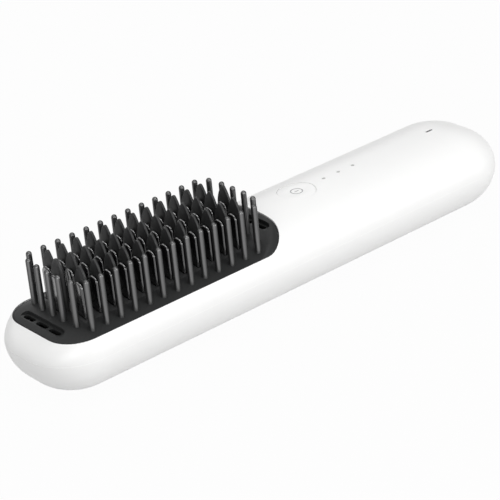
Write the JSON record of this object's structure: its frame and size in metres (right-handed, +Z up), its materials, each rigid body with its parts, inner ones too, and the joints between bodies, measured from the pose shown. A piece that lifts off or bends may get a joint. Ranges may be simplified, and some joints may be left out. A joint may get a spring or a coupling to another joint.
{
  "type": "hair straightening brush",
  "caption": "Cordless hair straightening brush lying on its back: rounded white body with a round power button, and a black domed comb deck with guide pins, pointed leaves and heater fins.",
  "frame": {"origin": "middle of the flat rest on the underside of the white body", "axes": "+X from the comb end to the end of the handle, +Y across the brush, +Z up through the tips of the teeth"},
  "size_m": [0.2179, 0.045, 0.0461],
  "materials": {
    "white_case": "smooth satin white",
    "black_plastic": "satin black",
    "coated_heater": "glossy black ceramic coating",
    "heating_element": "plain",
    "mica": "matt",
    "inner_plastic": "matt, heat resistant",
    "steel": "zinc plated",
    "fuse_case": "plain",
    "sensor_case": "glazed bead",
    "seal_rubber": "matt",
    "silicone": "matt",
    "switch_plastic": "matt",
    "light_plastic": "milky",
    "dark_window": "dark, glossy",
    "board": "lacquered green",
    "cell_case": "shrink sleeve",
    "nickel": "plain",
    "socket_metal": "drawn",
    "lead_rubber": "smooth"
  },
  "bodies": {
    "housing": {"upper_shell": "white_case", "lower_shell": "white_case", "comb_deck": "black_plastic", "guide_pins": "black_plastic", "outer_leaf_strips": "black_plastic", "centre_leaf_strip": "black_plastic", "heater_block": "coated_heater", "heating_elements": "heating_element", "mica_sheet": "mica", "heater_bracket": "inner_plastic", "bracket_screws": "steel", "thermal_fuse": "fuse_case", "temperature_sensor": "sensor_case", "deck_seal": "seal_rubber", "button_return_pad": "silicone", "power_switch": "switch_plastic", "light_guide": "light_plastic", "indicator_leds": "light_plastic", "charge_window": "dark_window", "main_board": "board", "board_screws": "steel", "battery_cells": "cell_case", "battery_cradle": "inner_plastic", "battery_straps": "nickel", "charging_socket": "socket_metal", "charging_board": "board", "heater_leads": "lead_rubber", "battery_leads": "lead_rubber", "charging_leads": "lead_rubber", "shell_screws": "steel", "head_screws": "steel", "screw_plugs": "white_case"},
    "button": {"button_cap": "white_case", "switch_stem": "switch_plastic"}
  },
  "joints": [
    {"name": "power_button", "type": "slide", "parent": "housing", "child": "button", "axis": [0, 0, -1], "range_m": [0, 0.0004], "stiffness_N_per_m": 600, "springref_m": -0.0003, "deforming": ["button_return_pad"]}
  ]
}
